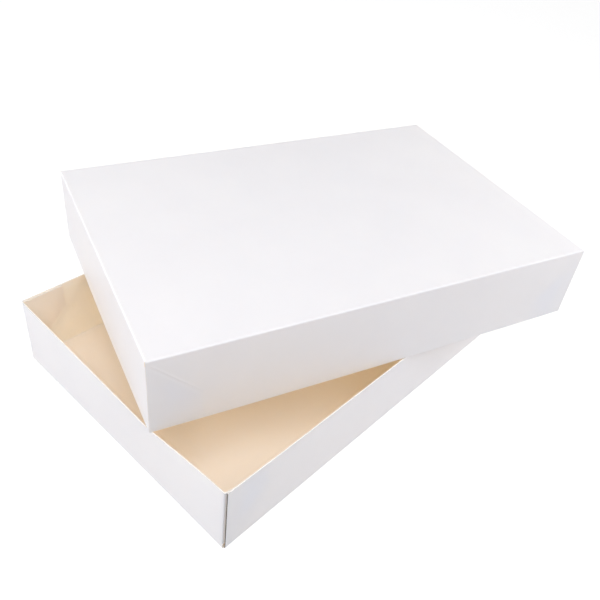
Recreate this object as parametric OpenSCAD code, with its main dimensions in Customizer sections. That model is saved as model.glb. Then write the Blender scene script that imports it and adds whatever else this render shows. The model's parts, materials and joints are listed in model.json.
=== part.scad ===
// Two-piece jewelry gift box: a shallow pop-up tray and a matching lid, both of creased paperboard.
// Each is one bottom or top panel, two short walls and two long walls whose corner triangles fold back,
// so that the walls lie flat on the panel. The lid rests across the base's rims, turned about its centre.
// Origin: centre of the base's underside. +Z up, +Y along the base's long side, +X across it.

/* [Board] */
// Thickness of the paperboard
board_t = 0.5; // [0.3:0.05:0.6]
// Outer radius of the short walls' bend at each corner
bend_r = 0.8; // [0.7:0.05:1.2]
// How far the long walls' cut ends stop short of the corner
end_gap = 0.3; // [0.1:0.05:0.5]
// Length of the glue flaps inside the long walls
flap_l = 22; // [10:0.5:24]

/* [Base tray] */
// Outer width of the base, across its short side
base_w = 149.5; // [110:0.5:240]
// Outer length of the base
base_l = 223.8; // [150:0.2:320]
// Height of the base's walls
base_h = 38; // [30:0.5:50]

/* [Lid] */
// Clearance between the closed lid and the base's short walls, at each end
lid_gap_l = 0.6; // [0.2:0.05:1.5]
// Clearance between the closed lid and the base's long walls, on each side
lid_gap_w = 0.25; // [0.15:0.05:1.5]
// Height of the lid's walls
lid_h = 39.8; // [30:0.1:52]
// Turn of the lid about +Z as it rests on the base
lid_turn = -19.9; // [-25:0.1:25]
// Shift of the lid's centre along the base's length
lid_shift = 16.7; // [0:0.1:20]
// Shift of the lid's centre across the base, to +X
lid_side_shift = -0.8; // [-5:0.1:5]

/* [Hidden] */
$fn = 48;
// Gap across each crease, and between the lid's rim and the base's rim
crease_gap = 0.05;
rest_gap = 0.2;
// Height of the short walls' creases, which leaves room for the folded layers under them
foot_h = 3.6 * board_t + board_t;
// Distance from the box's outer side to the end of each short wall's flat part
short_inset = board_t + bend_r + crease_gap;
// Distance of a flap from the diagonal crease, and of its upper edge from the rim
flap_gap = 1.8;
flap_drop = 0.6;
bend_drop = 0.3;
lid_w = base_w + 2 * (board_t + lid_gap_w);
lid_l = base_l + 2 * (board_t + lid_gap_l);
lid_top_z = base_h + rest_gap + lid_h;
board_white = [0.95, 0.95, 0.96];
board_cream = [0.92, 0.87, 0.80];

// ---- Tray pieces, drawn for a tray that stands on its panel. w, l and h are its outer sizes. ----

// The flat panel, with the low upturned strips that carry the short walls
module tray_panel(w, l) {
    panel_w = w - 2 * (board_t + crease_gap);
    strip_w = w - 2 * short_inset;
    translate([-panel_w / 2, -l / 2, 0])
        cube([panel_w, l, board_t]);
    for (y = [-l / 2, l / 2 - board_t])
        translate([-strip_w / 2, y, 0])
            cube([strip_w, board_t, foot_h]);
}

// A short wall above its crease, at the -Y end
module tray_short_wall(w, l, h) {
    wall_w = w - 2 * short_inset;
    translate([-wall_w / 2, -l / 2, foot_h + crease_gap])
        cube([wall_w, board_t, h - foot_h - crease_gap]);
}

// Extrudes an outline in Y and Z along +X, from x0, one board thick
module board_sheet(x0, outline) {
    translate([x0, 0, 0])
        rotate([90, 0, 90])
            linear_extrude(board_t)
                polygon(outline);
}

// The middle of a long wall, on the +X side, between its two diagonal creases
module tray_long_wall(w, l, h) {
    y_end = l / 2 - end_gap;
    y_top = l / 2 - (h - board_t);
    board_sheet(w / 2 - board_t, [
        [-y_end, 0],
        [y_end, 0],
        [y_end, board_t + end_gap],
        [y_top, h],
        [-y_top, h],
        [-y_end, board_t + end_gap]
    ]);
}

// The corner triangle of a long wall, on the +X side. end is -1 for the -Y end and 1 for the +Y end
module tray_gusset(w, l, h, end) {
    lift = 2 * crease_gap;
    y_end = l / 2 - end_gap;
    board_sheet(w / 2 - board_t, [
        [end * y_end, board_t + end_gap + lift],
        [end * y_end, h],
        [end * (l / 2 - (h - board_t - lift)), h]
    ]);
}

// The glue flap inside that triangle, with the bend that leads to the short wall
module tray_flap(w, l, h, end) {
    x_in = w / 2 - 2 * board_t;
    low = board_t + flap_gap;
    y_bend = l / 2 - bend_r;
    board_sheet(x_in, [
        [end * y_bend, low + bend_r],
        [end * y_bend, h - flap_drop],
        [end * (l / 2 - flap_l), h - flap_drop],
        [end * (l / 2 - flap_l), low + flap_l]
    ]);
    translate([w / 2 - board_t - bend_r, end * y_bend, low + bend_r])
        linear_extrude(h - bend_drop - low - bend_r)
            intersection() {
                difference() {
                    circle(bend_r);
                    circle(bend_r - board_t);
                }
                translate([0, end < 0 ? -bend_r : 0])
                    square(bend_r);
            }
}

// ---- Placing ----

// Turns a piece drawn on the +X side, or at the -Y end, to the opposite one
module opposite() {
    rotate([0, 0, 180])
        children();
}

// The lid is a tray turned over about X, then turned and shifted on the base
module on_base() {
    translate([lid_side_shift, lid_shift, lid_top_z])
        rotate([0, 0, lid_turn])
            rotate([180, 0, 0])
                children();
}

// ---- Nodes of the base ----

module base_bottom() {
    color(board_white) tray_panel(base_w, base_l);
}

module base_front_wall() {
    color(board_white) tray_short_wall(base_w, base_l, base_h);
}

module base_back_wall() {
    color(board_white) opposite() tray_short_wall(base_w, base_l, base_h);
}

module base_right_wall() {
    color(board_white) tray_long_wall(base_w, base_l, base_h);
}

module base_left_wall() {
    color(board_white) opposite() tray_long_wall(base_w, base_l, base_h);
}

module base_right_front_gusset() {
    color(board_white) tray_gusset(base_w, base_l, base_h, -1);
}

module base_right_back_gusset() {
    color(board_white) tray_gusset(base_w, base_l, base_h, 1);
}

module base_left_front_gusset() {
    color(board_white) opposite() tray_gusset(base_w, base_l, base_h, 1);
}

module base_left_back_gusset() {
    color(board_white) opposite() tray_gusset(base_w, base_l, base_h, -1);
}

module base_right_front_flap() {
    color(board_cream) tray_flap(base_w, base_l, base_h, -1);
}

module base_right_back_flap() {
    color(board_cream) tray_flap(base_w, base_l, base_h, 1);
}

module base_left_front_flap() {
    color(board_cream) opposite() tray_flap(base_w, base_l, base_h, 1);
}

module base_left_back_flap() {
    color(board_cream) opposite() tray_flap(base_w, base_l, base_h, -1);
}

// ---- Nodes of the lid. Turned over, its -Y end is the back. ----

module lid_top() {
    color(board_white) on_base() tray_panel(lid_w, lid_l);
}

module lid_front_wall() {
    color(board_white) on_base() opposite() tray_short_wall(lid_w, lid_l, lid_h);
}

module lid_back_wall() {
    color(board_white) on_base() tray_short_wall(lid_w, lid_l, lid_h);
}

module lid_right_wall() {
    color(board_white) on_base() tray_long_wall(lid_w, lid_l, lid_h);
}

module lid_left_wall() {
    color(board_white) on_base() opposite() tray_long_wall(lid_w, lid_l, lid_h);
}

module lid_right_front_gusset() {
    color(board_white) on_base() tray_gusset(lid_w, lid_l, lid_h, 1);
}

module lid_right_back_gusset() {
    color(board_white) on_base() tray_gusset(lid_w, lid_l, lid_h, -1);
}

module lid_left_front_gusset() {
    color(board_white) on_base() opposite() tray_gusset(lid_w, lid_l, lid_h, -1);
}

module lid_left_back_gusset() {
    color(board_white) on_base() opposite() tray_gusset(lid_w, lid_l, lid_h, 1);
}

module lid_right_front_flap() {
    color(board_cream) on_base() tray_flap(lid_w, lid_l, lid_h, 1);
}

module lid_right_back_flap() {
    color(board_cream) on_base() tray_flap(lid_w, lid_l, lid_h, -1);
}

module lid_left_front_flap() {
    color(board_cream) on_base() opposite() tray_flap(lid_w, lid_l, lid_h, -1);
}

module lid_left_back_flap() {
    color(board_cream) on_base() opposite() tray_flap(lid_w, lid_l, lid_h, 1);
}

base_bottom();
base_front_wall();
base_back_wall();
base_right_wall();
base_left_wall();
base_right_front_gusset();
base_right_back_gusset();
base_left_front_gusset();
base_left_back_gusset();
base_right_front_flap();
base_right_back_flap();
base_left_front_flap();
base_left_back_flap();
lid_top();
lid_front_wall();
lid_back_wall();
lid_right_wall();
lid_left_wall();
lid_right_front_gusset();
lid_right_back_gusset();
lid_left_front_gusset();
lid_left_back_gusset();
lid_right_front_flap();
lid_right_back_flap();
lid_left_front_flap();
lid_left_back_flap();
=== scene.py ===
import json
import math

import bmesh
import bpy
import numpy as np
from mathutils import Matrix, Vector


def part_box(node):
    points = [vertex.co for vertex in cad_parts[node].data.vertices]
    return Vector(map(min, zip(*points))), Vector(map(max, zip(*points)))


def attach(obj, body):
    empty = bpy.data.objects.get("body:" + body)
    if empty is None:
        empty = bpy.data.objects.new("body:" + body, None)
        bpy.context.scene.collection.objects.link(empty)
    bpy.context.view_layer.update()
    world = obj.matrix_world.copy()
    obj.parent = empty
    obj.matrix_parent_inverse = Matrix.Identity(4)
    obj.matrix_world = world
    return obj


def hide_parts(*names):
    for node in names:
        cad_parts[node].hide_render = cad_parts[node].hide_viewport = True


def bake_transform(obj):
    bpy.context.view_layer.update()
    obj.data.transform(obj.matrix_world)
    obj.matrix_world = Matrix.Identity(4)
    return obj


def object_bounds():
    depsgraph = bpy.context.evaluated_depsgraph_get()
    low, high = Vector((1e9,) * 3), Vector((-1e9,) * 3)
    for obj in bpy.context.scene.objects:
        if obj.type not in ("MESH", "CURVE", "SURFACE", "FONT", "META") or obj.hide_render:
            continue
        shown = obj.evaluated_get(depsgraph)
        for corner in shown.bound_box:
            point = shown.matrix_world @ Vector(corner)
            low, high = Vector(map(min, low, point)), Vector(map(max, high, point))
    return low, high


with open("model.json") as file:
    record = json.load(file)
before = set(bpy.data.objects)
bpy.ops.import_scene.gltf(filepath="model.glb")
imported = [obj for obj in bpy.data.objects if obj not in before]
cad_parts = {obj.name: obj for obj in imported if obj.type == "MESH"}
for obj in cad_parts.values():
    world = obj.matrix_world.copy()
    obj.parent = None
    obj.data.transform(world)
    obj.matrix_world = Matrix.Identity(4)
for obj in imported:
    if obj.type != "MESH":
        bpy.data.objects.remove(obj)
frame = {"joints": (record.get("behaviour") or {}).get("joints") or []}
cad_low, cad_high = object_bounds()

# The box is two trays of thin creased board, the lid's turned over. Each is built in local coordinates: x
# across it, y along it and z from the panel's outer face to the rim. to_row turns those into the frame's.
# Every piece is one closed sheet. Panels and flaps ride one body, and the others ride none.

MM = 0.001
JOINTS = {j["name"]: j for j in frame["joints"]}

# ---------------------------------------------------------------- measures of the two trays


def joint_pos(name):
    """A point on the joint's axis, in the frame's coordinates."""
    return np.array(JOINTS[name]["pos_m"], float)


def unit(v):
    v = np.asarray(v, float)
    return v / np.linalg.norm(v)


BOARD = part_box("base_front_wall")[1].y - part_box("base_front_wall")[0].y

ROOT_TWO = math.sqrt(2)

CREASE_R = 0.75 * MM  # outer radius of the creases round each panel
BEND_R = 0.8 * MM  # outer radius of the short walls' bend at the corners
STRIP = 1.2 * MM  # how far past the diagonal crease, towards the wall's middle, the corner piece reaches
SPLIT_Z = 1.0 * MM  # height at which a long wall splits into middle and corner pieces
SEAM = 0.002 * MM  # half the gap between the rows of points on either side of that split
FOOT_Z = 3.0 * MM  # a short wall is a little wider below this height
FOOT_INSET = CREASE_R + 0.08 * MM  # how far it stops short of the tray's side there
FLAP_LOW = 2.3 * MM  # the flap's lower edge starts this high plus the bend's radius
FLAP_LENGTH = 22 * MM
FLAP_DROP = 0.6 * MM  # how far the flap's upper edge is below the rim
BEND_DROP = 0.06 * MM  # how far the bend's upper edge is below it

ROW_STEP = 1.2 * MM  # height of a wall's rows of faces
CORNER_ROW_STEP = 0.8 * MM  # the same for the corner triangles
CREASE_SIDE = 1.2 * MM  # how far short of the diagonal crease their finer steps begin


def make_tray(prefix, panel, up, end_set, slot_gap, end_edge):
    """Sizes and frame of a tray, from the CAD's own joints. Local z runs from the panel's outer face to the
    rim. end_set is how far the long walls stop short of the corners, slot_gap how far a flap starts inside
    its long wall, and end_edge the material of the long walls' cut ends, which on the base is a painted
    shade."""
    right, left = joint_pos(prefix + "_right_fold"), joint_pos(prefix + "_left_fold")
    front, back = joint_pos(prefix + "_front_fold"), joint_pos(prefix + "_back_fold")
    up = np.array([0, 0, up], float)
    low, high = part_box(prefix + "_right_wall")
    return {
        "prefix": prefix,
        "panel": panel,
        "x": unit(right - left),
        "y": unit(back - front),
        "up": up,
        "origin": (right + left) / 2 - up * BOARD,
        "w": np.linalg.norm(right - left) + 2 * BOARD,
        "l": np.linalg.norm(back - front) + 2 * BOARD,
        "h": high.z - low.z,
        "foot": abs((front - right) @ up) + BOARD,
        "end_set": end_set,
        "slot": slot_gap,
        "end_edge": end_edge,
    }


def to_row(tray, points):
    """Local tray points, in an array whose last axis is x, y, z, to the row frame."""
    axes = np.stack([tray["x"], tray["y"], tray["up"]])
    return points @ axes + tray["origin"]


def smooth(lo, hi, x):
    """0 at lo, 1 at hi, with an even start and stop. lo may be the larger."""
    t = np.clip((x - lo) / (hi - lo), 0, 1)
    return t * t * (3 - 2 * t)


# ---------------------------------------------------------------- sheets of board


def spaced(lo, hi, step):
    """Even values from lo to hi, about a step apart."""
    return np.linspace(lo, hi, max(2, int(round((hi - lo) / step)) + 1))


def graded(lo, hi, step, fine, reach):
    """Values from lo to hi, closer together within reach of each end."""
    if hi - lo < 2.5 * reach:
        return spaced(lo, hi, fine)
    first, last = spaced(lo, lo + reach, fine), spaced(hi - reach, hi, fine)
    return np.concatenate([first[:-1], spaced(lo + reach, hi - reach, step), last[1:]])


def board_sheet(name, tray, outer, normal, mats, edge_mats):
    """A closed sheet of board. outer and normal are grids of points and unit vectors on its outer face, in
    local tray coordinates. mats are the outer and inner materials, edge_mats those of the first-index start
    and end, then the second-index start and end."""
    nu, nv = outer.shape[:2]
    inner = outer - normal * BOARD
    verts = np.concatenate([to_row(tray, g).reshape(-1, 3) for g in (outer, inner)])
    index = np.arange(nu * nv).reshape(nu, nv)
    back = index + nu * nv
    quads, slots = [], []

    def add(a, b, c, d, slot):
        block = np.stack([a, b, c, d], -1).reshape(-1, 4)
        quads.append(block)
        slots.append(np.full(len(block), slot))

    add(index[:-1, :-1], index[1:, :-1], index[1:, 1:], index[:-1, 1:], 0)
    add(back[:-1, :-1], back[:-1, 1:], back[1:, 1:], back[1:, :-1], 1)
    outer_lines = (index[0], index[-1], index[:, 0], index[:, -1])
    inner_lines = (back[0], back[-1], back[:, 0], back[:, -1])
    for k, (front_line, back_line) in enumerate(zip(outer_lines, inner_lines)):
        add(front_line[:-1], front_line[1:], back_line[1:], back_line[:-1], 2 + k)
    quads, slots = np.concatenate(quads), np.concatenate(slots)
    mesh = bpy.data.meshes.new(name)
    mesh.from_pydata(verts.tolist(), [], quads.tolist())
    used = list(dict.fromkeys([*mats, *edge_mats]))
    for material in used:
        mesh.materials.append(material)
    lookup = np.array([used.index(m) for m in (*mats, *edge_mats)])
    mesh.polygons.foreach_set("material_index", lookup[slots].astype(np.int32))
    bm = bmesh.new()
    bm.from_mesh(mesh)
    bmesh.ops.recalc_face_normals(bm, faces=bm.faces)
    bm.to_mesh(mesh)
    bm.free()
    mesh.polygons.foreach_set("use_smooth", np.ones(len(mesh.polygons), bool))
    mesh.set_sharp_from_angle(angle=math.radians(35))
    obj = bpy.data.objects.new(name, mesh)
    bpy.context.scene.collection.objects.link(obj)
    return obj


def profile(d):
    """The bend and wall seen end on, at distance d along the outer face from the bend's start. Gives the
    distance outwards from that start, the height, and the outward and upward parts of the normal."""
    arc = CREASE_R * math.pi / 2
    phi = np.clip(d, 0, arc) / CREASE_R
    out = CREASE_R * np.sin(phi)
    high = CREASE_R - CREASE_R * np.cos(phi) + np.maximum(d - arc, 0)
    return out, high, np.sin(phi), -np.cos(phi)


def along_wall(heights):
    """Distances along the outer face for an array of heights, with the bend's own steps before them."""
    arc = CREASE_R * math.pi / 2
    return np.concatenate([np.linspace(0, arc, 9)[:-1], arc + heights - CREASE_R])


# ---------------------------------------------------------------- how the board gives


def ripple(a, b, seed):
    """A slow, slight unevenness of the board, between about -1 and 1. a and b are places in metres."""
    total = 0
    for k in range(4):
        phase = seed * 1.7 + k * 2.1
        along = np.sin(a * (9 + 17 * k) + phase)
        upward = np.cos(b * (31 + 13 * k) + phase * 1.3)
        total = total + math.sin(phase * 3 + 1) * along * upward
    return total / 2.2


# how far the middles of the panels stand off the floor and swell upwards, and their unevenness
BOTTOM_RISE, BOTTOM_SET, BOTTOM_WAVE = 0.25 * MM, 0.05 * MM, 0.05 * MM
TOP_SWELL, TOP_WAVE = 0.35 * MM, 0.12 * MM
# how far the middle of each rim bows outwards
LONG_BOW = {"base": 0.35 * MM, "lid": 0.8 * MM}
SHORT_BOW = {"base_back": 0.5 * MM, "lid_front": 0.35 * MM, "lid_back": 0.45 * MM}
PUSH_PEAK = 2.4 * MM  # how far the rim of the base's front wall stands out near the lid's corner
PUSH_AT = 44 * MM  # how far from the right corner that is
PUSH_SCALE = 1.06  # makes up for the height that the rounding of the peak takes off
PUSH_ROUNDING = 0.12
CREASE_RISE = {"base": 0.02 * MM, "lid": 0.10 * MM}  # height of the raised line on the diagonal crease
CREASE_WIDTH = 0.45 * MM
DIAGONAL_LIFT = 0.12 * MM  # how far the board swells beside that crease
LIFT_REACH = 13 * MM
GHOST_STEP = 0.06 * MM  # how far the glued flap shows through as a step
GHOST_EDGE = 0.35 * MM  # half the width of that step
LONG_WAVE, SHORT_WAVE = 0.10 * MM, 0.08 * MM  # unevenness of the walls


def corner_terms(tray, s, z):
    """Near one corner of a long wall: the lift and bead of the diagonal crease and the flap's faint outline.
    s is the distance from the corner and z the height."""
    h = tray["h"]
    q = (z - BOARD - s) / ROOT_TWO  # distance from the diagonal, positive towards the corner
    inside = np.clip(1 - q / np.maximum(z / ROOT_TWO, 1e-5), 0, 1)
    lift = np.where(q > 0, inside, np.exp(-((q / LIFT_REACH) ** 2)))
    bead = np.exp(-((q / CREASE_WIDTH) ** 2)) * CREASE_RISE[tray["prefix"]]
    bead = bead * smooth(FLAP_LENGTH + 4 * MM, FLAP_LENGTH - 6 * MM, s)
    under = smooth(FLAP_LENGTH + GHOST_EDGE, FLAP_LENGTH - GHOST_EDGE, s) * smooth(1.0 * MM, 1.8 * MM, q)
    rise = smooth(2 * MM, 14 * MM, z) * smooth(0, 7 * MM, s)
    return DIAGONAL_LIFT * lift * rise + bead * smooth(1.5 * MM, 4 * MM, z) + GHOST_STEP * under * (z < h)


def long_give(tray, side, y, z):
    """Outward shift of a long wall's face at y and z."""
    half, h = tray["l"] / 2, tray["h"]
    seed = 3 * side + (5 if tray["prefix"] == "lid" else 0)
    middle = np.cos(np.clip(y / half, -1, 1) * math.pi / 2)
    give = LONG_BOW[tray["prefix"]] * middle * (z / h) ** 1.4
    give = give + LONG_WAVE * ripple(y, z, seed) * smooth(0, 12 * MM, half - abs(y))
    give = give * smooth(1.0 * MM, 7 * MM, z)
    for end in (-1, 1):
        give = give + corner_terms(tray, half - end * y, z)
    return give


def short_give(tray, end, x, z):
    """Outward shift of a short wall's face at x and z. The base's front wall leans out to a rounded peak,
    the others bow a little."""
    half, h = tray["w"] / 2, tray["h"]
    key = tray["prefix"] + ("_front" if end < 0 else "_back")
    if key == "base_front":
        u = np.clip(half - x, 0, 2 * half)
        rising = (u / PUSH_AT) ** 1.5
        falling = np.clip(1 - (u - PUSH_AT) / (2 * half - PUSH_AT), 0, None)
        sharp = np.exp(-rising / PUSH_ROUNDING) + np.exp(-falling / PUSH_ROUNDING)
        mixed = -PUSH_ROUNDING * np.log(sharp)
        give = PUSH_PEAK * PUSH_SCALE * np.clip(mixed, 0, None) * (z / h) ** 1.25
    else:
        give = SHORT_BOW[key] * np.cos(np.clip(x / half, -1, 1) * math.pi / 2) * (z / h) ** 1.4
    # the seed differs from wall to wall, so that no two are uneven in the same way
    wave = ripple(x + 0.3, z, 7 * end + tray["h"] * 900)
    give = give + SHORT_WAVE * wave * smooth(0, 10 * MM, half - abs(x))
    return give * smooth(1.0 * MM, 7 * MM, z) * smooth(half - 1.3 * MM, half - 6 * MM, abs(x))


# ---------------------------------------------------------------- materials


# the colour sockets of a Mix node
MIX_A, MIX_B, MIX_OUT = 6, 7, 2


class Nodes:
    """Builds one material's node tree, with all its textures in object coordinates."""

    def __init__(self, name):
        self.material = bpy.data.materials.new(name)
        self.material.use_nodes = True
        self.tree = self.material.node_tree
        self.shader = self.tree.nodes["Principled BSDF"]
        self.coords = self.tree.nodes.new("ShaderNodeTexCoord").outputs["Object"]

    def link(self, a, b):
        self.tree.links.new(a, b)

    def noise(self, scale, detail, rough, stretch=None):
        node = self.tree.nodes.new("ShaderNodeTexNoise")
        node.inputs["Scale"].default_value = scale
        node.inputs["Detail"].default_value = detail
        node.inputs["Roughness"].default_value = rough
        vector = self.coords
        if stretch:
            mapping = self.tree.nodes.new("ShaderNodeMapping")
            mapping.inputs["Scale"].default_value = stretch
            self.link(vector, mapping.inputs["Vector"])
            vector = mapping.outputs["Vector"]
        self.link(vector, node.inputs["Vector"])
        return node.outputs["Fac"]

    def ramp(self, value, stops):
        node = self.tree.nodes.new("ShaderNodeValToRGB")
        ramp = node.color_ramp
        while len(ramp.elements) < len(stops):
            ramp.elements.new(0.5)
        for element, (at, colour) in zip(ramp.elements, stops):
            element.position = at
            element.color = (*colour, 1)
        self.link(value, node.inputs["Fac"])
        return node.outputs["Color"]

    def spread(self, value, low, high):
        """Stretches 0 to 1 to low to high."""
        node = self.tree.nodes.new("ShaderNodeMapRange")
        node.inputs["To Min"].default_value = low
        node.inputs["To Max"].default_value = high
        self.link(value, node.inputs["Value"])
        return node.outputs["Result"]

    def math(self, operation, a, b):
        node = self.tree.nodes.new("ShaderNodeMath")
        node.operation = operation
        for socket, value in zip(node.inputs, (a, b)):
            if isinstance(value, (int, float)):
                socket.default_value = value
            else:
                self.link(value, socket)
        return node.outputs["Value"]

    def tint(self, base, factor, colour):
        """Multiplies the base colour by another, as far as factor says."""
        node = self.tree.nodes.new("ShaderNodeMix")
        node.data_type = "RGBA"
        node.blend_type = "MULTIPLY"
        self.link(factor, node.inputs["Factor"])
        self.link(base, node.inputs[MIX_A])
        node.inputs[MIX_B].default_value = (*colour, 1)
        return node.outputs[MIX_OUT]

    def pass_light(self, share, colour):
        """Hands a share of the light on through the thin board, in the given colour."""
        passing = self.tree.nodes.new("ShaderNodeBsdfTranslucent")
        passing.inputs["Color"].default_value = (*colour, 1)
        mix = self.tree.nodes.new("ShaderNodeMixShader")
        mix.inputs["Fac"].default_value = share
        self.link(self.shader.outputs["BSDF"], mix.inputs[1])
        self.link(passing.outputs["BSDF"], mix.inputs[2])
        self.link(mix.outputs["Shader"], self.tree.nodes["Material Output"].inputs["Surface"])

    def bump(self, height, strength, distance, before=None):
        node = self.tree.nodes.new("ShaderNodeBump")
        node.inputs["Strength"].default_value = strength
        node.inputs["Distance"].default_value = distance
        self.link(height, node.inputs["Height"])
        if before:
            self.link(before, node.inputs["Normal"])
        return node.outputs["Normal"]


def coated_board(name, share):
    """Clay-coated white face: nearly even, satin, with a soft mottle and a trace of fibre under the coat.
    share is how much of the light goes through."""
    n = Nodes(name)
    cloud = n.noise(scale=38, detail=3, rough=0.55)
    mottle = n.noise(scale=900, detail=5, rough=0.6)
    streak = n.noise(scale=240, detail=4, rough=0.6, stretch=(1, 0.16, 1))
    colour = n.ramp(cloud, [(0.3, WHITE_LOW), (0.7, WHITE_HIGH)])
    colour = n.tint(colour, n.spread(mottle, low=0.0, high=0.045), (0.80, 0.80, 0.83))
    n.link(colour, n.shader.inputs["Base Color"])
    rough = n.math("ADD", n.spread(mottle, low=0.44, high=0.54), n.spread(streak, low=-0.03, high=0.03))
    n.link(rough, n.shader.inputs["Roughness"])
    n.shader.inputs["IOR"].default_value = 1.48
    n.shader.inputs["Specular IOR Level"].default_value = 0.35
    n.pass_light(share, COATED_PASS)
    fine = n.bump(n.noise(scale=2600, detail=3, rough=0.6), strength=0.05, distance=0.04 * MM)
    n.link(n.bump(streak, strength=0.05, distance=0.2 * MM, before=fine), n.shader.inputs["Normal"])
    return n.material


def cream_board():
    """Uncoated back: warm cream pulp with fine fibres and a few darker specks, matt."""
    n = Nodes("uncoated_cream_board")
    cloud = n.noise(scale=60, detail=4, rough=0.6)
    pulp = n.noise(scale=700, detail=8, rough=0.68)
    fibre = n.noise(scale=1500, detail=6, rough=0.7, stretch=(1, 0.22, 1))
    colour = n.ramp(cloud, [(0.3, CREAM_LOW), (0.7, CREAM_HIGH)])
    colour = n.tint(colour, n.spread(pulp, low=0.0, high=0.10), (0.92, 0.84, 0.72))
    specks = n.noise(scale=2100, detail=2, rough=0.5)
    speck = n.ramp(specks, [(0.70, (0, 0, 0)), (0.78, (1, 1, 1))])
    colour = n.tint(colour, n.math("MULTIPLY", speck, 0.10), (0.62, 0.52, 0.42))
    n.link(colour, n.shader.inputs["Base Color"])
    n.link(n.spread(pulp, low=0.78, high=0.95), n.shader.inputs["Roughness"])
    n.shader.inputs["Specular IOR Level"].default_value = 0.2
    n.pass_light(CREAM_SHARE, CREAM_PASS)
    coarse = n.bump(pulp, strength=0.18, distance=0.06 * MM)
    n.link(n.bump(fibre, strength=0.22, distance=0.05 * MM, before=coarse), n.shader.inputs["Normal"])
    return n.material


def cut_edge(name, pale, dark):
    """A cut edge: matt, between two shades, with ragged fibres."""
    n = Nodes(name)
    layers = n.noise(scale=1800, detail=5, rough=0.65)
    tufts = n.noise(scale=420, detail=5, rough=0.7)
    colour = n.ramp(layers, [(0.32, dark), (0.62, pale)])
    colour = n.tint(colour, n.spread(tufts, low=0.0, high=0.16), (0.74, 0.68, 0.60))
    n.link(colour, n.shader.inputs["Base Color"])
    n.link(n.spread(layers, low=0.82, high=0.97), n.shader.inputs["Roughness"])
    n.shader.inputs["Specular IOR Level"].default_value = 0.15
    n.link(n.bump(layers, strength=0.35, distance=0.12 * MM), n.shader.inputs["Normal"])
    return n.material


# how much of the light each face lets through, and its colour. Like the board's colours and the lights, these
# are chosen to look like the photograph and are not measured from board.
COATED_SHARE = 0.23
CREAM_SHARE = 0.29
COATED_PASS = (0.94, 0.95, 0.96)
CREAM_PASS = (1.0, 0.78, 0.46)
WHITE_LOW, WHITE_HIGH = (0.90, 0.91, 0.95), (0.92, 0.93, 0.965)
CREAM_LOW, CREAM_HIGH = (0.948, 0.945, 0.928), (0.958, 0.958, 0.946)
COATED = coated_board("coated_white_board", COATED_SHARE)
# a stand-in: the base stands on the floor, so its underside is made to let no light through
UNDERSIDE = coated_board("coated_underside", 0.0)
CREAM = cream_board()
RIM = cut_edge("cut_rim", (0.86, 0.83, 0.79), (0.76, 0.71, 0.64))
# painted shade: the base's long walls' cut ends are made nearly black so the corner seams look as dark as the
# shadowed gap there; the board's own cut edge is pale like the rims
PAINTED_SHADE_END = cut_edge("cut_end_painted_shade", (0.17, 0.16, 0.15), (0.08, 0.075, 0.07))


TRAYS = [
    make_tray("base", "base_bottom", up=1, end_set=0.85 * MM, slot_gap=0.3 * MM, end_edge=PAINTED_SHADE_END),
    make_tray("lid", "lid_top", up=-1, end_set=0.15 * MM, slot_gap=0.0, end_edge=RIM),
]


# ---------------------------------------------------------------- pieces


def panel_piece(tray):
    """The flat bottom or top, up to the start of the bends, a little crowned in its middle."""
    half_w, half_l = tray["w"] / 2 - CREASE_R, tray["l"] / 2 - CREASE_R
    xs = graded(-half_w, half_w, 3 * MM, 1 * MM, 6 * MM)
    ys = graded(-half_l, half_l, 3 * MM, 1 * MM, 6 * MM)
    x, y = np.meshgrid(xs, ys, indexing="ij")
    crown = np.cos(x / half_w * math.pi / 2) * np.cos(y / half_l * math.pi / 2)
    inset = smooth(0, 20 * MM, half_w - abs(x)) * smooth(0, 20 * MM, half_l - abs(y))
    face = COATED
    if tray["prefix"] == "base":
        face = UNDERSIDE
        z = (BOTTOM_RISE * crown + BOTTOM_SET + BOTTOM_WAVE * ripple(x, y, 2)) * inset
    else:
        z = (TOP_WAVE * ripple(x, y, 4) - TOP_SWELL * crown) * inset
    outer = np.stack([x, y, z], -1)
    normal = np.zeros_like(outer)
    normal[..., 2] = -1
    name = tray["panel"] + "_board"
    obj = board_sheet(name, tray, outer, normal, (face, CREAM), (CREAM,) * 4)
    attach(obj, tray["panel"])
    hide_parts(tray["panel"])


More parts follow.
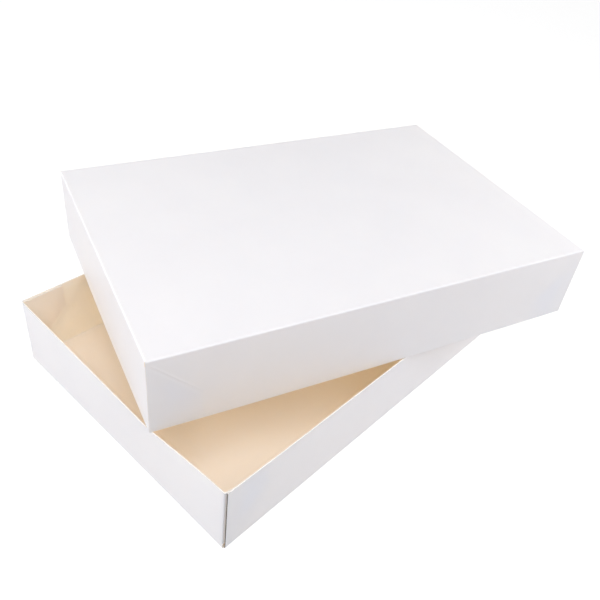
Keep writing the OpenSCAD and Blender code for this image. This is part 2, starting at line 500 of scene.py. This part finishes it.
def long_wall_piece(tray, side):
    """The middle of a long wall, with the bend below it, up to the corner pieces' strips."""
    half, h = tray["l"] / 2, tray["h"]
    heights = np.concatenate([[CREASE_R, SPLIT_Z - SEAM, SPLIT_Z + SEAM], spaced(2 * MM, h, ROW_STEP)])
    out, z, n_out, n_up = profile(along_wall(heights))
    stop = np.where(z < SPLIT_Z, tray["end_set"], z - BOARD + STRIP * ROOT_TWO)
    across = graded(-1, 1, 0.02, 0.004, 0.06)
    y = across[:, None] * (half - stop)[None, :]
    give = long_give(tray, side, y, z[None, :])
    x = tray["w"] / 2 - CREASE_R + out[None, :] + give
    outer = np.stack([side * x, y, np.broadcast_to(z, y.shape)], -1)
    normal = np.stack([np.broadcast_to(side * n_out, y.shape), 0 * y, np.broadcast_to(n_up, y.shape)], -1)
    wall = f"{tray['prefix']}_{'right' if side > 0 else 'left'}_wall"
    edges = (tray["end_edge"], tray["end_edge"], CREAM, RIM)
    obj = board_sheet(wall + "_board", tray, outer, normal, (COATED, CREAM), edges)
    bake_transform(obj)
    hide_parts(wall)


def gusset_piece(tray, side, end):
    """The corner triangle, with a strip of the wall beyond the diagonal crease that it turns on."""
    half, h = tray["l"] / 2, tray["h"]
    heights = np.concatenate([[SPLIT_Z + SEAM], spaced(2 * MM, h, CORNER_ROW_STEP)])
    # distances from the corner: the wall's cut end, just short of the crease, and the strip's far side
    first = tray["end_set"]
    near = np.maximum(heights - BOARD - CREASE_SIDE, first + 0.1 * MM)
    far = heights - BOARD + STRIP * ROOT_TWO
    # steps along each row, closest together where the crease is
    body = first + np.linspace(0, 1, 26)[:-1, None] * (near - first)[None, :]
    strip = near[None, :] + np.linspace(0, 1, 17)[:, None] * (far - near)[None, :]
    s = np.concatenate([body, strip])
    y = end * (half - s)
    z = np.broadcast_to(heights, s.shape)
    x = tray["w"] / 2 + long_give(tray, side, y, z)
    outer = np.stack([side * x, y, z], -1)
    normal = np.zeros_like(outer)
    normal[..., 0] = side
    key = f"{tray['prefix']}_{'right' if side > 0 else 'left'}"
    gusset = f"{key}_{'front' if end < 0 else 'back'}_gusset"
    edges = (tray["end_edge"], CREAM, CREAM, RIM)
    obj = board_sheet(gusset + "_board", tray, outer, normal, (COATED, CREAM), edges)
    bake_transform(obj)
    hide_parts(gusset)


def flap_piece(tray, side, end):
    """The bend out of the short wall and the glue flap inside the long wall's triangle."""
    half_w, half_l, h = tray["w"] / 2, tray["l"] / 2, tray["h"]
    r = BEND_R
    arc = r * math.pi / 2
    flat = graded(0, FLAP_LENGTH - r, 1.5 * MM, 0.4 * MM, 4 * MM)
    run = np.concatenate([np.linspace(0, arc, 11)[:-1], arc + flat])
    phi = np.clip(run, 0, arc) / r
    s = r - r * np.cos(phi) + np.maximum(run - arc, 0)  # distance from the corner along the long wall
    low = FLAP_LOW + r + np.maximum(s - r, 0)
    high = h - BEND_DROP - FLAP_DROP * smooth(1.5 * MM, 4 * MM, s)
    z = low[:, None] + (high - low)[:, None] * np.linspace(0, 1, 25)[None, :]
    y = end * (half_l - s)[:, None] + 0 * z
    seat = half_w - BOARD - tray["slot"] * (1 - smooth(1 * MM, 8 * MM, s))
    x_flat = seat[:, None] + long_give(tray, side, y, z) * smooth(r, 4 * MM, s)[:, None]
    start = half_w - BOARD - r
    x_arc = (start + (seat[0] - start) * np.sin(phi))[:, None] + 0 * z
    x = np.where((run < arc)[:, None], x_arc, x_flat)
    outer = np.stack([side * x, y, z], -1)
    n_x, n_y = side * np.sin(phi)[:, None] + 0 * z, end * np.cos(phi)[:, None] + 0 * z
    normal = np.stack([n_x, n_y, 0 * z], -1)
    key = f"{tray['prefix']}_{'right' if side > 0 else 'left'}_{'front' if end < 0 else 'back'}"
    obj = board_sheet(key + "_flap_board", tray, outer, normal, (COATED, CREAM), (CREAM, RIM, RIM, RIM))
    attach(obj, key + "_gusset")
    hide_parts(key + "_flap")


def short_wall_piece(tray, end):
    """A short wall with the bend below it. It turns on a crease a little above the panel."""
    half_w, half_l, h = tray["w"] / 2, tray["l"] / 2, tray["h"]
    # heights of the rows, closest together at the crease and at the step above it
    below = [CREASE_R, 1.2 * MM, 1.7 * MM]
    crease = np.linspace(1.9 * MM, 2.8 * MM, 7)
    step = [FOOT_Z - 0.02 * MM, FOOT_Z + 0.02 * MM]
    heights = np.concatenate([below, crease, step, spaced(4 * MM, h, ROW_STEP)])
    out, z, n_out, n_up = profile(along_wall(heights))
    stop = np.where(z < FOOT_Z, FOOT_INSET, BOARD + BEND_R)
    across = graded(-1, 1, 0.02, 0.005, 0.08)
    x = across[:, None] * (half_w - stop)[None, :]
    y = half_l - CREASE_R + out[None, :] + short_give(tray, end, x, z[None, :])
    outer = np.stack([x, end * y, np.broadcast_to(z, x.shape)], -1)
    normal = np.stack([0 * x, np.broadcast_to(end * n_out, x.shape), np.broadcast_to(n_up, x.shape)], -1)
    wall = f"{tray['prefix']}_{'front' if end < 0 else 'back'}_wall"
    edges = (CREAM, CREAM, CREAM, RIM)
    obj = board_sheet(wall + "_board", tray, outer, normal, (COATED, CREAM), edges)
    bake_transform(obj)
    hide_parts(wall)


for tray in TRAYS:
    panel_piece(tray)
    for end in (-1, 1):
        short_wall_piece(tray, end)
    for side in (1, -1):
        long_wall_piece(tray, side)
        for end in (-1, 1):
            gusset_piece(tray, side, end)
            flap_piece(tray, side, end)

# ---------------------------------------------------------------- floor, light and camera

FLOOR_GAP = 0.05 * MM
SWEEP_RADIUS = 2.6
SWEEP_BEND = 0.8
SWEEP_HEIGHT = 2.4
SWEEP_STEPS = 96
FLAT_RINGS = (0.5, 1.2)  # radii of the floor's flat rings
FLOOR_GLOW = 0.9
GROUND_LIGHT = (0.60, 0.60, 0.63)
SKY_LIGHT = (0.02, 0.02, 0.02)


def stage_material():
    """White studio paper that glows, so that it looks evenly white."""
    n = Nodes("studio_paper")
    cloud = n.noise(scale=3, detail=2, rough=0.5)
    colour = n.ramp(cloud, [(0.3, (0.21, 0.21, 0.212)), (0.7, (0.23, 0.23, 0.232))])
    n.link(colour, n.shader.inputs["Base Color"])
    n.shader.inputs["Roughness"].default_value = 0.9
    n.shader.inputs["Specular IOR Level"].default_value = 0.1
    n.shader.inputs["Emission Color"].default_value = (1, 1, 1, 1)
    n.shader.inputs["Emission Strength"].default_value = FLOOR_GLOW
    return n.material


def make_floor():
    """A round floor that curves up into a wall all round. It sends no diffuse light on to the box, which
    make_world does in its place."""
    angles = np.linspace(0, math.pi / 2, 13)
    radii = [*FLAT_RINGS, *(SWEEP_RADIUS - SWEEP_BEND + SWEEP_BEND * np.sin(angles)), SWEEP_RADIUS]
    heights = [0, 0, *(SWEEP_BEND - SWEEP_BEND * np.cos(angles)), SWEEP_HEIGHT]
    turns = [2 * math.pi * k / SWEEP_STEPS for k in range(SWEEP_STEPS)]
    bm = bmesh.new()
    middle = bm.verts.new((0, 0, -FLOOR_GAP))
    rings = []
    for radius, height in zip(radii, heights):
        places = [(radius * math.cos(t), radius * math.sin(t), height - FLOOR_GAP) for t in turns]
        rings.append([bm.verts.new(place) for place in places])
    for k in range(SWEEP_STEPS):
        bm.faces.new((middle, rings[0][k], rings[0][(k + 1) % SWEEP_STEPS]))
    for inner, outer in zip(rings, rings[1:]):
        for k in range(SWEEP_STEPS):
            after = (k + 1) % SWEEP_STEPS
            bm.faces.new((inner[k], outer[k], outer[after], inner[after]))
    for face in bm.faces:
        face.smooth = True
    mesh = bpy.data.meshes.new("floor")
    bm.to_mesh(mesh)
    bm.free()
    mesh.materials.append(stage_material())
    floor = bpy.data.objects.new("floor", mesh)
    bpy.context.scene.collection.objects.link(floor)
    floor.visible_diffuse = False
    floor.visible_shadow = False


def make_light(name, target, azimuth, elevation, distance, size, power, colour):
    """A square soft box that faces the target. Azimuth is measured like the camera's."""
    a, e = math.radians(azimuth), math.radians(elevation)
    back = Vector((math.sin(a) * math.cos(e), -math.cos(a) * math.cos(e), math.sin(e)))
    data = bpy.data.lights.new(name, "AREA")
    data.shape = "SQUARE"
    data.size = size
    data.energy = power
    data.color = colour
    lamp = bpy.data.objects.new(name, data)
    lamp.location = target + back * distance
    lamp.rotation_mode = "QUATERNION"
    lamp.rotation_quaternion = back.to_track_quat("Z", "Y")
    lamp.visible_camera = False
    bpy.context.scene.collection.objects.link(lamp)


def make_world():
    """Soft light from all round: what a white floor would send up, and a little from the room above."""
    world = bpy.data.worlds.new("studio")
    world.use_nodes = True
    nodes, links = world.node_tree.nodes, world.node_tree.links
    coords = nodes.new("ShaderNodeTexCoord")
    split = nodes.new("ShaderNodeSeparateXYZ")
    rise = nodes.new("ShaderNodeMapRange")
    rise.inputs["From Min"].default_value = -0.08
    rise.inputs["From Max"].default_value = 0.08
    mix = nodes.new("ShaderNodeMix")
    mix.name = "ground_to_sky"
    mix.data_type = "RGBA"
    mix.inputs[MIX_A].default_value = (*GROUND_LIGHT, 1)
    mix.inputs[MIX_B].default_value = (*SKY_LIGHT, 1)
    links.new(coords.outputs["Generated"], split.inputs["Vector"])
    links.new(split.outputs["Z"], rise.inputs["Value"])
    links.new(rise.outputs["Result"], mix.inputs["Factor"])
    links.new(mix.outputs[MIX_OUT], nodes["Background"].inputs["Color"])
    bpy.context.scene.world = world


# the camera was fitted together with the box's proportions, to the corners in the photograph
CAMERA_AZIMUTH, CAMERA_ELEVATION, CAMERA_ROLL = 38.84, 38.75, 7.34
CAMERA_PLACE = Vector((0.18212, -0.21636, 0.25561))
CAMERA_LENS = 40.146


def make_camera():
    """The view from above the front right corner, rolled a little."""
    data = bpy.data.cameras.new("camera")
    data.sensor_width = 36
    data.lens = CAMERA_LENS
    data.clip_start, data.clip_end = 0.01, 20
    camera = bpy.data.objects.new("camera", data)
    a, e, roll = (math.radians(x) for x in (CAMERA_AZIMUTH, CAMERA_ELEVATION, CAMERA_ROLL))
    back = Vector((math.sin(a) * math.cos(e), -math.cos(a) * math.cos(e), math.sin(e)))
    right = Vector((math.cos(a), math.sin(a), 0))
    up = back.cross(right)
    turned_right = right * math.cos(roll) + up * math.sin(roll)
    turned_up = up * math.cos(roll) - right * math.sin(roll)
    turn = Matrix((turned_right, turned_up, back)).transposed().to_4x4()
    camera.matrix_world = Matrix.Translation(CAMERA_PLACE) @ turn
    bpy.context.scene.collection.objects.link(camera)
    bpy.context.scene.camera = camera


make_floor()
make_world()
centre = (cad_low + cad_high) / 2
# name, target, azimuth, elevation, distance, size, power in watts, colour
make_light("key", centre, 56, 60, 1.0, 1.0, 8.6, (0.975, 0.98, 1.0))
make_light("left", centre, -60, 45, 1.0, 0.75, 1.9, (0.97, 0.98, 1.0))
make_light("front", centre, -16, 20, 0.8, 0.6, 3.1, (0.975, 0.98, 1.0))
make_light("overhead", centre, 5, 74, 1.0, 0.75, 1.5, (0.97, 0.98, 1.0))
make_light("right_back", centre, 143, 12, 0.5, 0.35, 1.7, (0.975, 0.98, 1.0))
make_camera()

scene = bpy.context.scene
scene.view_settings.view_transform = "Standard"
scene.view_settings.look = "None"
# light bounces many times between the pale walls, and through them
scene.cycles.max_bounces = 24
scene.cycles.diffuse_bounces = 20
